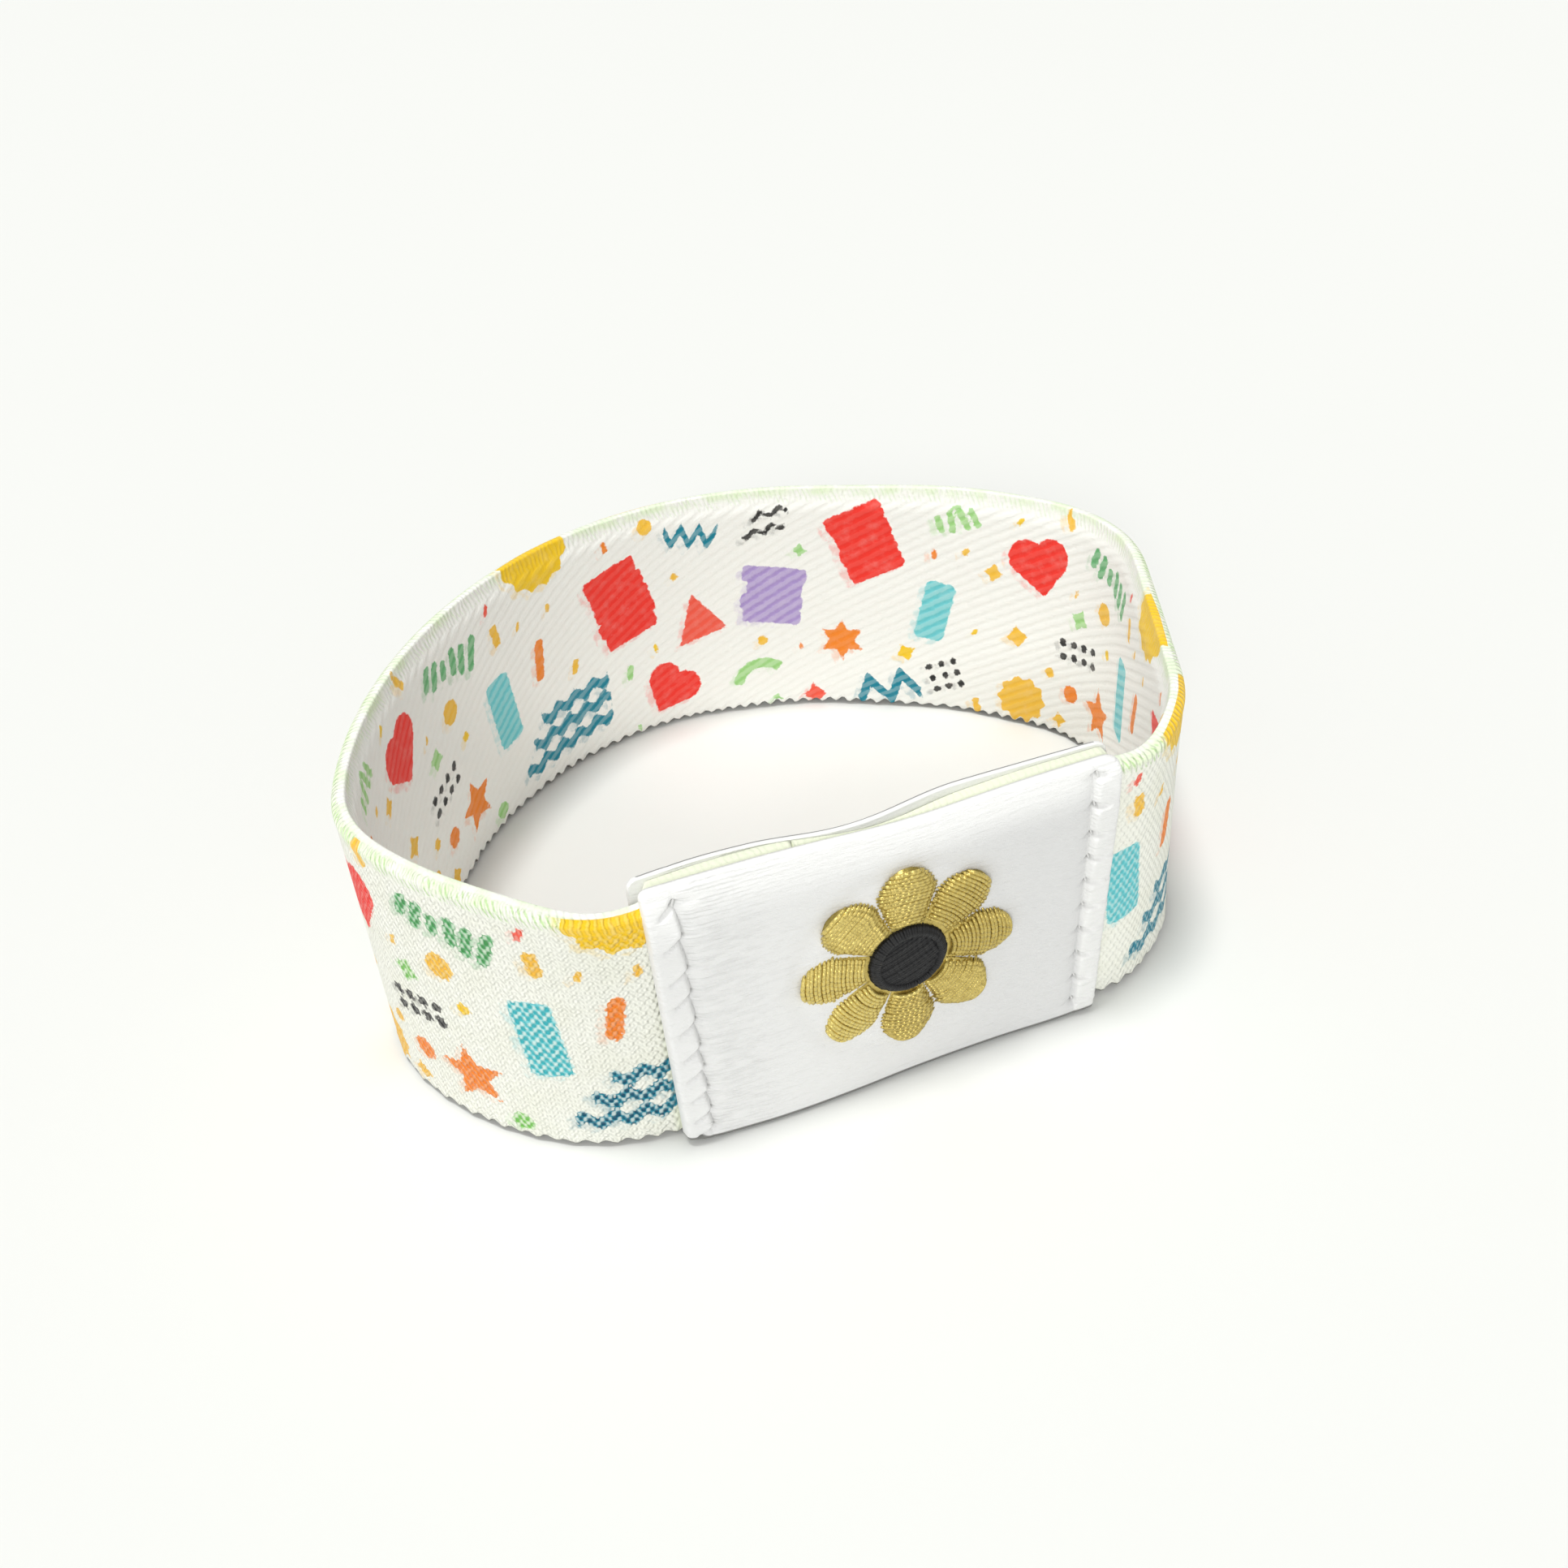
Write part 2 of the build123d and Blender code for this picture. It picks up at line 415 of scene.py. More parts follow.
# Motifs of one print repeat: shape, its sizes, place along and up the strap, tilt in degrees, colour
MOTIFS = [
    (heart, (5.4,), 4.2, 14.6, 12, RED),
    (dots, (4, 2, 1.2, 0.78), 8.8, 8.4, 8, INK_BLACK),
    (strokes, (6, 1.15, 2.2, 0.8, 2), 12.6, 16.6, -14, GREEN),
    (bar, (2.7, 6.2, 0.5), 17.8, 9.4, 7, CYAN),
    (star, (4.8,), 12.4, 4.4, 10, ORANGE),
    (scallop_disc, (7.2, 14, 0.05), 23.6, 20.7, 0, YELLOW),
    (bar, (0.95, 3.6, 0.4), 22.4, 11.4, -8, ORANGE),
    (waves, (9.8, 3, 1.75, 0.85), 24.6, 4.6, 5, TEAL),
    (brush_patch, (5.6, 6.8, 5, 15), 30.8, 12.8, 14, RED),
    (zigzag, (4.6, 0.75, 3), 37.4, 17.0, -10, TEAL),
    (polygon, ([(-2.4, -1.7), (2.1, -2.0), (0.4, 2.4)],), 37.4, 9.6, 18, CORAL),
    (brush_patch, (5.6, 5.0, 4, 27), 44.0, 10.8, -9, LILAC),
    (heart, (5.0,), 34.4, 3.4, -35, RED),
    (waves, (3.8, 2, 1.3, 0.42, 1.5), 43.8, 17.4, 12, INK_BLACK),
    (band, (2.3, 0.95, 62), 42.8, 2.2, 20, LIGHT_GREEN),
    (star, (4.2, 6, 0.5), 49.8, 6.4, 0, ORANGE),
    (brush_patch, (5.2, 6.0, 4, 8), 51.8, 15.4, 24, RED),
    (zigzag, (5.4, 1.1, 2), 53.6, 1.8, 14, TEAL),
    (bar, (2.5, 5.4, 0.5), 57.4, 9.4, -12, CYAN),
    (scallop_disc, (4.6, 10), 3.4, 2.4, 0, GOLD_YELLOW),
    (strokes, (4, 1.0, 1.8, 0.6, 9), 59.0, 17.4, 20, LIGHT_GREEN),
    (dots, (3, 3, 1.1, 0.68), 58.4, 3.4, 20, INK_BLACK),
]
SPECK_COLOURS = [GOLD_YELLOW, YELLOW, GOLD_YELLOW, CORAL, ORANGE, LIGHT_GREEN, GOLD_YELLOW]
SPECK_TRIES = 260
SPECK_ROOM = 0.9
NO_PRINT = -3  # a distance well outside every motif


def motif_distance(motif, along, up):
    """The distance to a motif's edge, at the repeat of it that is nearest."""
    shape, sizes, place_along, place_up, tilt, _ = motif
    x = (along - place_along + PRINT_REPEAT / 2) % PRINT_REPEAT - PRINT_REPEAT / 2
    spot = (x + 1j * (up - place_up)) * direction(-tilt)
    return shape(spot.real, spot.imag, *sizes)


def scattered_specks():
    """Small diamonds, dots and flecks in the room that the motifs leave."""
    random = np.random.default_rng(12)
    specks = []
    for _ in range(SPECK_TRIES):
        place_along = random.uniform(0, PRINT_REPEAT)
        place_up = random.uniform(0.6, STRAP_HEIGHT - 0.6)
        size = random.uniform(0.8, 2.0)
        kind = random.integers(3)
        spot = np.array([place_along]), np.array([place_up])
        room = max(float(motif_distance(motif, *spot)[0]) for motif in MOTIFS + specks)
        if room > -SPECK_ROOM - size / 2:
            continue
        kinds = [(star, (size * 1.25, 4, 0.55)), (disc, (size,)), (bar, (size * 0.45, size, 0.2))]
        shape, sizes = kinds[kind]
        colour = SPECK_COLOURS[random.integers(len(SPECK_COLOURS))]
        specks.append((shape, sizes, place_along, place_up, random.uniform(-40, 40), colour))
    return specks


def print_at(along, up, specks):
    """Distance inside the nearest motif's edge and that motif's colour, at each place."""
    edge = np.full(along.shape, -FAR)
    ink = np.zeros(along.shape + (3,))
    for motif in MOTIFS + specks:
        distance = motif_distance(motif, along, up)
        nearer = distance > edge
        edge = np.where(nearer, distance, edge)
        ink[nearer] = motif[-1]
    return np.clip(edge, NO_PRINT, -NO_PRINT), ink


# Elastic strap

def scallops(along):
    """How far the woven lower edge stands above its lowest points."""
    drift = 0.5 * value_noise(along / 9, 0, 5)
    phase = (along / SCALLOP_PITCH + drift) % 1
    wave = 0.5 - 0.5 * np.cos(2 * pi * phase**0.72)
    return wave * SCALLOP_DEPTH * (1 + 0.35 * value_noise(along / 1.7, 3, 6))


def strap_section():
    """The closed section: depth from the outer face, height, which half it is on, and travel along it.

    It starts at the outer face's foot, goes up, over the top and down the inner face, and under.
    """
    turn_height = STRAP_HEIGHT - TOP_ROUNDING
    crest_height = STRAP_HEIGHT - CREST_INSET
    rows = int((turn_height - BOTTOM_ROUNDING) / ROW_PITCH)
    half = STRAP_WALL / 2
    crest = STRAP_WALL - CREST_INSET
    outer_turn = np.linspace(0, pi / 2, 9)[1:]
    inner_turn = np.linspace(0, pi / 2, 5)[1:-1]
    under = np.linspace(0, pi, 8)[1:-1]
    depth, height = np.concatenate([
        [np.zeros(rows), np.linspace(BOTTOM_ROUNDING, turn_height, rows)],
        [crest * (1 - np.cos(outer_turn)), turn_height + TOP_ROUNDING * np.sin(outer_turn)],
        [crest + CREST_INSET * np.sin(inner_turn), crest_height + CREST_INSET * np.cos(inner_turn)],
        [np.full(rows, STRAP_WALL), np.linspace(crest_height, BOTTOM_ROUNDING, rows)],
        [half + half * np.cos(under), BOTTOM_ROUNDING * (1 - np.sin(under))],
    ], axis=1)
    inner = (depth > half).astype(float)
    travel = np.concatenate([[0], np.cumsum(np.hypot(np.diff(depth), np.diff(height)))])
    return depth, height, inner, travel


def strap_relief(along, height):
    """How far the faces stand out: a firm selvedge below the top edge, and slow unevenness."""
    below_top = STRAP_HEIGHT - height
    bead = BEAD * bell(below_top, 0.55, 0.4)
    groove = -GROOVE * bell(below_top, SELVEDGE, 0.3)
    slow = SLOW_RELIEF * value_noise(along / 6, height / 5, 8)
    foot = FOOT_SWELL * bell(height, 0, 0.7)
    return bead + groove + slow + foot


def bulges(along, table):
    """The sum of smooth bulges, each with its place, reach and size."""
    return sum(size * bell(along, place, reach) for place, reach, size in table)


def stand_out(along, height):
    """How far the loop's wall stands out of its plan, apart from at its top and its foot."""
    share = np.clip(height / STRAP_HEIGHT, 0, 1)
    return bulges(along, TOP_BULGES) * share**1.5 + bulges(along, FOOT_BULGES) * (1 - share) ** 1.3


def label_sides(along):
    """Where the strap goes into the label, at the label's right and left side."""
    return FRONT_RUN - STRAP_RIGHT_END, along[-1] - STRAP_LEFT_END


def edge_sag(along):
    """The top edge gives a little just outside the label, where the seams pull it."""
    right_side, left_side = label_sides(along)
    return SAG_RIGHT * bell(along, right_side + 2.5, 3.5) + SAG_LEFT * bell(along, left_side - 2.5, 4.5)


def inside_label(along):
    """1 where the strap lies between the sewn panels, 0 where it shows."""
    right_side, left_side = label_sides(along)
    at_right = step_between(right_side + 0.5, right_side - 0.3, along)
    return at_right + step_between(left_side - 0.65, left_side + 0.05, along)


def lining_dip(across):
    """How far the label's back panel dips towards its front one."""
    share = np.clip((across - STRAP_REACH - STRAP_GAP / 2) / DIP_HALF_LENGTH, -1, 1)
    return DIP_DEPTH * (0.5 + 0.5 * np.cos(pi * share))


def label_place(along):
    """How far the strap's ends lie from the label's left border."""
    right_end = STRAP_REACH + STRAP_GAP + along
    left_end = STRAP_REACH - (along[-1] - along)
    return np.where(along < along[-1] / 2, right_end, left_end)


def middle_sag(across):
    """1 where the label's top edge hangs lowest, falling to 0 towards its ends."""
    return bell(across, LABEL_SAG_PLACE, LABEL_SAG_REACH)


def edge_rise(across):
    """How far the strap's top edge stands up inside the label."""
    lost = RISE_LOST_IN_SAG * middle_sag(across) + RISE_LOST_AT_LEFT * bell(across, 0, 2.5)
    return EDGE_RISE - lost


def strap_depth(along, depth, height, sewn_in):
    """How far in each point lies, with the wall's relief, pressed thin inside the label."""
    middle = STRAP_WALL / 2
    depth = middle + (depth - middle) * (1 + strap_relief(along, height) / middle)
    dip = lining_dip(label_place(along[:, 0]))[:, None]
    pressed = dip + TOP_PRESS * sewn_in * (height / STRAP_HEIGHT) ** 2
    near_edge = step_between(STRAP_HEIGHT - 1.8, STRAP_HEIGHT - 0.3, height)
    return depth * (1 - pressed / STRAP_WALL) * (1 - EDGE_THINNING * near_edge * (1 - sewn_in))


def strap_points(along, spot, inward, depth, height, sewn_in):
    """The strap's points, with its sags, bulges and scallops. spot and inward are its plan."""
    near_top = (height / STRAP_HEIGHT) ** 3
    sag = edge_sag(along[:, 0])[:, None] * (1 - sewn_in) * near_top
    rise = edge_rise(label_place(along[:, 0]))[:, None] * sewn_in * near_top
    lift = scallops(along) * np.clip(1 - height / SCALLOP_FADE, 0, 1) ** 2
    wobble = FOOT_WOBBLE * np.sin(pi * along / SCALLOP_PITCH) * np.exp(-height / 0.8)
    inset = depth + wobble - SAG_LEAN * sag - stand_out(along, height)
    place = spot[:, None] + inward[:, None] * inset
    return np.stack([place.real + ORIGIN_X, place.imag + ORIGIN_Y, height + lift - sag + rise], axis=-1)


def store_print(strap, along, depth, height, inner, sewn_in):
    """Stores the print's edges and colours at the strap's points. It goes on over the top edge."""
    over_edge = np.where(height > STRAP_HEIGHT - TOP_ROUNDING, np.abs(depth - STRAP_WALL * inner), 0)
    up = np.minimum(height, STRAP_HEIGHT - TOP_ROUNDING) + over_edge
    on_inside = along[-1, 0] - along + INNER_PRINT_SHIFT
    along = np.where(inner > 0.5, on_inside, along + OUTER_PRINT_SHIFT)
    specks = scattered_specks()
    edge, ink = print_at(along, up, specks)
    ghost, _ = print_at(along + GHOST_SHIFT[0], up + GHOST_SHIFT[1], specks)
    hidden = sewn_in > 0.5
    edge = np.where(hidden & (up > STRAP_HEIGHT - 1.2), NO_PRINT, edge)
    add_point_values(strap, "print_edge", edge)
    add_point_values(strap, "print_ghost", np.where(hidden, NO_PRINT, ghost))
    add_point_values(strap, "print_ink", ink)


def build_strap(material):
    distance, spots, heading = strap_curve()
    start = END_TO_END - STRAP_GAP
    columns = int((distance[-1] - start) / COLUMN_PITCH)
    along = np.linspace(start, distance[-1], columns)
    spot = np.interp(along, distance, spots.real) + 1j * np.interp(along, distance, spots.imag)
    spot += np.minimum(along, 0)
    inward = 1j * np.exp(1j * np.interp(along, distance, heading))
    section_depth, section_height, section_inner, section_travel = strap_section()
    ring = len(section_height)
    along, height = np.meshgrid(along, section_height, indexing="ij")
    sewn_in = inside_label(along[:, 0])[:, None] * np.ones(ring)
    inner = np.broadcast_to(section_inner, height.shape)
    travel = np.broadcast_to(section_travel, height.shape)
    depth = strap_depth(along, section_depth, height, sewn_in)
    points = strap_points(along, spot, inward, depth, height, sewn_in).reshape(-1, 3)

    quads = grid_quads(columns, ring, closed=True)[:, [0, 3, 2, 1]].tolist()
    last = (columns - 1) * ring
    caps = [list(range(ring)), [last + k for k in reversed(range(ring))]]
    strap = add_mesh("strap_elastic", points, quads + caps, material)
    store_print(strap, along, depth, height, inner, sewn_in)
    add_point_values(strap, "inner_face", inner)
    add_point_values(strap, "in_label", sewn_in)
    add_point_values(strap, "below_top", STRAP_HEIGHT - height)
    add_uv(strap, "Weave", along, travel)
    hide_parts("elastic_strap")
    (distance[-1] - start) * MM


# Label panels

# A seam: its stitches' levels on the front panel, its distance from the border, how far the lobes
# bulge over it, its creases (slant in degrees, length, depth) and the lobes' puffs (height, reach)
Seam = namedtuple(
    "Seam", "stitches inset bulge slant crease_length crease_depth puff puff_reach high_at_top",
)
LEFT_SEAM = Seam(
    [19.6, 17.2, 14.6, 12.7, 10.4, 8.2, 6.4, 4.5, 2.6, 1.0], 1.62, 0.22, 40, 1.5, 0.58, 0.30, 0.9, False,
)
RIGHT_SEAM = Seam(
    [19.8, 17.6, 15.4, 13.5, 11.6, 9.6, 7.6, 5.5, 3.4, 1.3], 1.55, 0.16, 4, 1.0, 0.44, 0.18, 1.6, True,
)

# A sewn panel, with corners as radii: top left, top right, low left, low right
Panel = namedtuple("Panel", "height wall roll corners seed")
FRONT_PANEL = Panel(FRONT_PANEL_HEIGHT, 0.96, 0.50, (0.5, 1.2, 0.35, 0.35), 31)
BACK_PANEL = Panel(BACK_PANEL_HEIGHT, 0.80, 0.30, (0.6, 0.9, 0.9, 0.9), 57)

LEFT_SKEW = 0.035  # the borders and seams lean, per millimetre of height
RIGHT_SKEW = 0.02
LEFT_INSET = 0.25
RIGHT_FLARE = 0.2
SEAM_ZONE = 3.75
SEAM_STEP = 0.07
HEIGHT_STEP = 0.1
MIDDLE_STEPS = 90
RIM_WIDTH = 0.32  # over which the panel thins to its border
RIM_BULGE = 0.08
THINNEST = 0.12
LOBE_UNEVENNESS = 0.25
LOBE_STEP = 0.09  # over which the flap rises from the seam
LEAST_VALLEY = 0.04
VALLEY_DEPTH = 0.34
VALLEY_REACH = 0.45
FLAP_FALL = 0.08
PIT_DEPTH = 0.58
CREASE_WIDTH = 0.14
PUCKER_DEPTH = 0.10
PUCKER_REACH = 0.7
FRONT_DROP = 0.27  # of the front panel's top edge
FRONT_SAG = 0.46  # more of it where it hangs lowest


def panel_steps():
    """Distances along a panel, closer together at its borders and over its seams."""
    near = np.concatenate([[0, 0.05, 0.12, 0.2], np.arange(0.29, SEAM_ZONE, SEAM_STEP)])
    middle = np.linspace(near[-1], LABEL_LENGTH - near[-1], MIDDLE_STEPS)[1:-1]
    return np.concatenate([near, middle, LABEL_LENGTH - near[::-1]])


def corner_inset(gap, radius):
    """How far a rounded corner draws the border in, at a distance from the corner."""
    reach = np.clip(radius - gap, 0, radius)
    return radius - np.sqrt(radius**2 - reach**2)


def left_shift(height, panel):
    """How far right the panel's left border stands, as the label isn't quite square."""
    return LEFT_INSET + LEFT_SKEW * (panel.height / 2 - height)


def right_shift(height, panel):
    """How far right the panel's right border stands."""
    return RIGHT_FLARE + RIGHT_SKEW * (height - panel.height / 2)


def seam_count(height, stitches):
    """Place along a seam counted in stitches from the top one."""
    levels = [-level for level in stitches]
    return np.interp(-height, levels, np.arange(len(stitches)), left=-1, right=len(stitches))


def seam_relief(gap, height, seam, seed):
    """What a seam adds to a panel's thickness, with gap the distance from the panel's border.

    The flap outside the seam puffs into lobes between the stitches. Each lobe bulges over the seam.
    """
    place = gap - seam.inset - 0.05 * value_noise(height / 2.5, 0, seed)
    flap = np.clip(-place, 0, None)
    slanted = height + tan(radians(seam.slant)) * (1 - np.exp(-flap / 0.9)) * 0.9
    count = seam_count(slanted, seam.stitches)
    number = np.floor(count)
    share = count - number
    first = seam.stitches[0]
    last = seam.stitches[-1]
    sewn = step_between(first + 0.5, first, height) * step_between(last - 0.5, last, height)
    uneven = 1 + LOBE_UNEVENNESS * value_noise(number + 0.5, 7, seed + 1)
    lobe = 1 - (2 * share - 1) ** 6 if seam.high_at_top else 1.3 * share * (1 - share**8)
    edge = place - seam.bulge * uneven * sewn * lobe
    tall = 1 - share if seam.high_at_top else share
    puff = (0.05 + seam.puff * tall * np.exp(-flap / seam.puff_reach)) * uneven * sewn
    valley = LEAST_VALLEY + VALLEY_DEPTH * sewn
    panel_side = -valley * np.exp(-np.clip(edge, 0, None) / VALLEY_REACH)
    flap_side = -valley + (valley + puff) * (1 - np.exp(np.clip(edge, None, 0) / LOBE_STEP))
    relief = np.where(edge < 0, flap_side, panel_side) - FLAP_FALL * step_between(0.6, 2.2, flap)
    relief -= seam.crease_depth * creases(place, height, seam)
    return relief - PIT_DEPTH * pits(place, height, seam)


def creases(place, height, seam):
    """1 along a short crease that runs from each stitch down into the flap, and 0 away from it."""
    angle = radians(seam.slant)
    length = seam.crease_length
    deepest = np.zeros_like(place)
    for level in seam.stitches:
        rise = height - level
        along = -place * cos(angle) - rise * sin(angle)
        off = -place * sin(angle) + rise * cos(angle)
        faded = step_between(length, 0.25 * length, along) * step_between(-0.1, 0.1, along)
        deepest = np.maximum(deepest, bell(off, 0, CREASE_WIDTH) * faded)
    return deepest


def pits(place, height, seam):
    """1 at each stitch, fading into the panel as a small wedge."""
    width = 0.20 - 0.10 * np.clip(place / 0.8, 0, 1)
    fade = np.exp(-np.clip(place, 0, None) / 0.40) * bell(np.clip(place, None, 0), 0, CREASE_WIDTH)
    off = np.min([np.abs(height - level) for level in seam.stitches], axis=0)
    return bell(off, 0, width) * fade


def on_panel(seam, panel):
    """The seam with its stitches spread over that panel's height."""
    return seam._replace(stitches=[level * panel.height / FRONT_PANEL_HEIGHT for level in seam.stitches])


def sewn_thickness(from_left, from_right, height, panel):
    """Thickness of a sewn panel: smooth in the middle, rolling back at the top, with a seam at each end."""
    top = np.clip((height / panel.height - 0.8) / 0.2, 0, 1)
    uneven = 0.02 * value_noise(from_left / 3, height / 3, panel.seed)
    thickness = panel.wall - panel.roll * top**2 + uneven
    thickness += seam_relief(from_left, height, on_panel(LEFT_SEAM, panel), panel.seed + 1)
    thickness += seam_relief(from_right, height, on_panel(RIGHT_SEAM, panel), panel.seed + 4)
    return np.maximum(thickness, THINNEST)


def flower_pucker(across, height):
    """The panel is drawn in round the embroidery."""
    away = np.hypot(across + label_low.x / MM - FLOWER_MIDDLE.x, height - FLOWER_MIDDLE.z)
    return -PUCKER_DEPTH * bell(away, FLOWER_RADIUS, PUCKER_REACH)


def panel_grid(panel):
    """Places on a panel: along from the label's left side, height, and distances from both borders."""
    rounding = max(panel.corners)
    near_rim = rounding * (1 - np.cos(np.linspace(0, pi / 2, 9)[:-1]))
    middle_count = int((panel.height - 2 * rounding) / HEIGHT_STEP)
    middle = np.linspace(rounding, panel.height - rounding, middle_count)
    height = np.concatenate([near_rim, middle, panel.height - near_rim[::-1]])[:, None]
    top_left, top_right, low_left, low_right = panel.corners
    below_top = panel.height - height
    left = corner_inset(height, low_left) + corner_inset(below_top, top_left)
    right = corner_inset(height, low_right) + corner_inset(below_top, top_right)
    left = left + left_shift(height, panel)
    right = right - right_shift(height, panel)
    across = left + (LABEL_LENGTH - left - right) * panel_steps() / LABEL_LENGTH
    height = np.broadcast_to(height, across.shape)
    return across, height, across - left, LABEL_LENGTH - right - across


def border_points(rows, columns):
    """The numbers of a grid's border points in turn, and of the inner points beside them."""
    numbers = np.arange(rows * columns).reshape(rows, columns)
    border = np.concatenate([numbers[0, :-1], numbers[:-1, -1], numbers[-1, :0:-1], numbers[:0:-1, 0]])
    row, column = np.divmod(border, columns)
    return border, numbers[np.clip(row, 1, rows - 2), np.clip(column, 1, columns - 2)]


def closed_sheet(sewn_points, plain_points, shape):
    """Points and faces of a sheet with two sides and a bulging rim, and its border points' numbers."""
    count = len(sewn_points)
    border, beside = border_points(*shape)
    outward = unit(plain_points[border] - plain_points[beside])
    ridge_points = (sewn_points[border] + plain_points[border]) / 2 + RIM_BULGE * outward
    ridge_points[:, 2] = np.maximum(ridge_points[:, 2], 0)
    ridge = 2 * count + np.arange(len(border))
    following = np.roll(border, -1)
    next_ridge = np.roll(ridge, -1)
    sewn_side = grid_quads(*shape)
    faces = np.concatenate([
        sewn_side, sewn_side[:, ::-1] + count,
        np.stack([border, ridge, next_ridge, following], axis=-1),
        np.stack([ridge, border + count, following + count, next_ridge], axis=-1),
    ])
    return np.concatenate([sewn_points, plain_points, ridge_points]), faces, border


def build_panel(name, panel, place, material, pucker=None):
    """A sewn panel. place turns panel places into the plain side's points and the way out from them."""
    across, height, from_left, from_right = panel_grid(panel)
    thickness = sewn_thickness(from_left, from_right, height, panel)
    if pucker:
        thickness += pucker(across, height)
    rim = np.minimum(np.minimum(from_left, from_right), np.minimum(height, panel.height - height))
    rim_share = np.clip(rim / RIM_WIDTH, 0, 1)
    thickness *= 0.70 + 0.30 * np.sqrt(1 - (1 - rim_share) ** 2)
    plain_side, out = place(across, height)
    sewn_side = plain_side + out * thickness[:, :, None]
    points, faces, border = closed_sheet(sewn_side.reshape(-1, 3), plain_side.reshape(-1, 3), across.shape)
    is_lining = out[0, 0, 1] > 0
    if is_lining:
        faces = faces[:, ::-1]
    obj = add_mesh(name, points, faces.tolist(), material)

    x = across.ravel()
    y = height.ravel()
    add_uv(obj, "Grain", np.concatenate([x, x, x[border]]), np.concatenate([y, y, y[border]]))
    left_holes = pits(from_left - LEFT_SEAM.inset, height, on_panel(LEFT_SEAM, panel))
    right_holes = pits(from_right - RIGHT_SEAM.inset, height, on_panel(RIGHT_SEAM, panel))
    # painted shade in the stitches' pits, stored for the material
    pit_shade = np.maximum(left_holes, right_holes).ravel()
    # painted shadow line along the back panel's top edge
    top_shadow_line = (y > panel.height - 0.01) * is_lining
    elsewhere = np.zeros(len(points) - len(x))
    add_point_values(obj, "top_shadow_line", np.concatenate([top_shadow_line, elsewhere]))
    add_point_values(obj, "stitch_pit_shade", np.concatenate([pit_shade, elsewhere]))
    return obj


def front_place(across, height):
    """The front panel lies against the strap. Its top edge is wavy and its foot lifts at both ends."""
    share = height / FRONT_PANEL_HEIGHT
    rise = -FRONT_DROP - FRONT_SAG * middle_sag(across)
    lift = 0.06 + 0.5 * bell(across, 0, 1.6) + 0.12 * bell(across, LABEL_LENGTH, 2.5)
    forward = 0.45 * bell(across, 8, 7) + 0.2 * bell(across, LABEL_LENGTH, 4)
    points = np.stack([
        across + label_low.x / MM, label_high.y / MM - forward * (1 - share) ** 1.5,
        height + lift * (1 - share) ** 4 + rise * share**4,
    ], axis=-1)
    return points, np.broadcast_to([0.0, -1.0, 0.0], points.shape)


def lining_place(across, height):
    """The back panel lies on the strap's inner face and dips to the front panel between its ends."""
    step = 0.01
    slope = (lining_dip(across + step) - lining_dip(across - step)) / (2 * step)
    pressed = lining_dip(across) + TOP_PRESS * (height / STRAP_HEIGHT) ** 2
    lower = 0.2 * bell(across, 0, 2.5) + 0.30 * bell(across, 10, 4)
    points = np.stack([
        across + lining_low.x / MM - LEFT_INSET * bell(across, 0, 2.5),
        ORIGIN_Y + STRAP_WALL + PANEL_CLEARANCE - pressed,
        height - lower * (height / BACK_PANEL_HEIGHT) ** 4,
    ], axis=-1)
    size = np.hypot(1, slope)
    return points, np.stack([slope / size, 1 / size, np.zeros_like(size)], axis=-1)


# Threads

THREAD_END = 0.45  # share of a thread's thickness that its ends keep


def tube_rings(path, radius, sides):
    """Points and quads of a tube along a path, tapered at its ends."""
    ahead = unit(np.gradient(path, axis=0))
    side = unit(np.cross(ahead, [0, 1, 0]))
    lift = np.cross(side, ahead)
    angle = np.linspace(0, 2 * pi, sides, endpoint=False)[:, None]
    size = np.full((len(path), 1, 1), radius)
    size[[0, -1]] *= THREAD_END
    ring = path[:, None] + size * (np.cos(angle) * side[:, None] + np.sin(angle) * lift[:, None])
    return ring.reshape(-1, 3), grid_quads(len(path), sides, closed=True)


def build_threads(name, paths, radius, material, sides=6):
    """Many threads as one mesh, with a number for each thread and the place along it."""
    points = []
    faces = []
    numbers = []
    places = []
    start = 0
    for number, path in enumerate(paths):
        ring, quads = tube_rings(path, radius, sides)
        points.append(ring)
        faces += (quads + start).tolist()
        end = start + len(ring)
        faces += [list(range(start, start + sides))[::-1], list(range(end - sides, end))]
        travel = np.concatenate([[0], np.cumsum(np.linalg.norm(np.diff(path, axis=0), axis=1))])
        places.append(np.repeat(travel, sides))
        numbers.append(np.full(len(ring), number))
        start = end
    obj = add_mesh(name, np.concatenate(points), faces, material)
    add_point_values(obj, "thread_number", np.concatenate(numbers) % 97 / 97)
    add_point_values(obj, "thread_place", np.concatenate(places))
    return obj


PETAL_COUNT = 8
CENTRE_RADIUS = (centre_high.x - centre_low.x) / 2 / MM
PETAL_HEIGHT = (petals_high.y - petals_low.y) / MM
CENTRE_HEIGHT = (centre_high.y - centre_low.y) / MM
PETAL_INNER_RADIUS = CENTRE_RADIUS + 0.15
PETAL_PITCH = 0.25
PETAL_BOW = 0.30
CENTRE_PITCH = 0.21
CENTRE_SLANT = 24
BORDER_STITCHES = 84
BORDER_WIDTH = 0.72
STITCH_REACH = 0.34  # half a seam stitch's length
STITCH_SINK = 0.56  # of a seam stitch below the panel's face
PETAL_BED = 0.22  # heights of the closed domes under the stitches
CENTRE_BED = 0.38
PETAL_THREAD = 0.15  # radius, as the next two
CENTRE_THREAD = 0.13
SEAM_THREAD = 0.06


def on_label(across, up, out):
    """A point on the front panel, from the flower's middle."""
    return np.stack([
        FLOWER_MIDDLE.x + across, FLOWER_MIDDLE.y - out, FLOWER_MIDDLE.z + up,
    ], axis=-1)


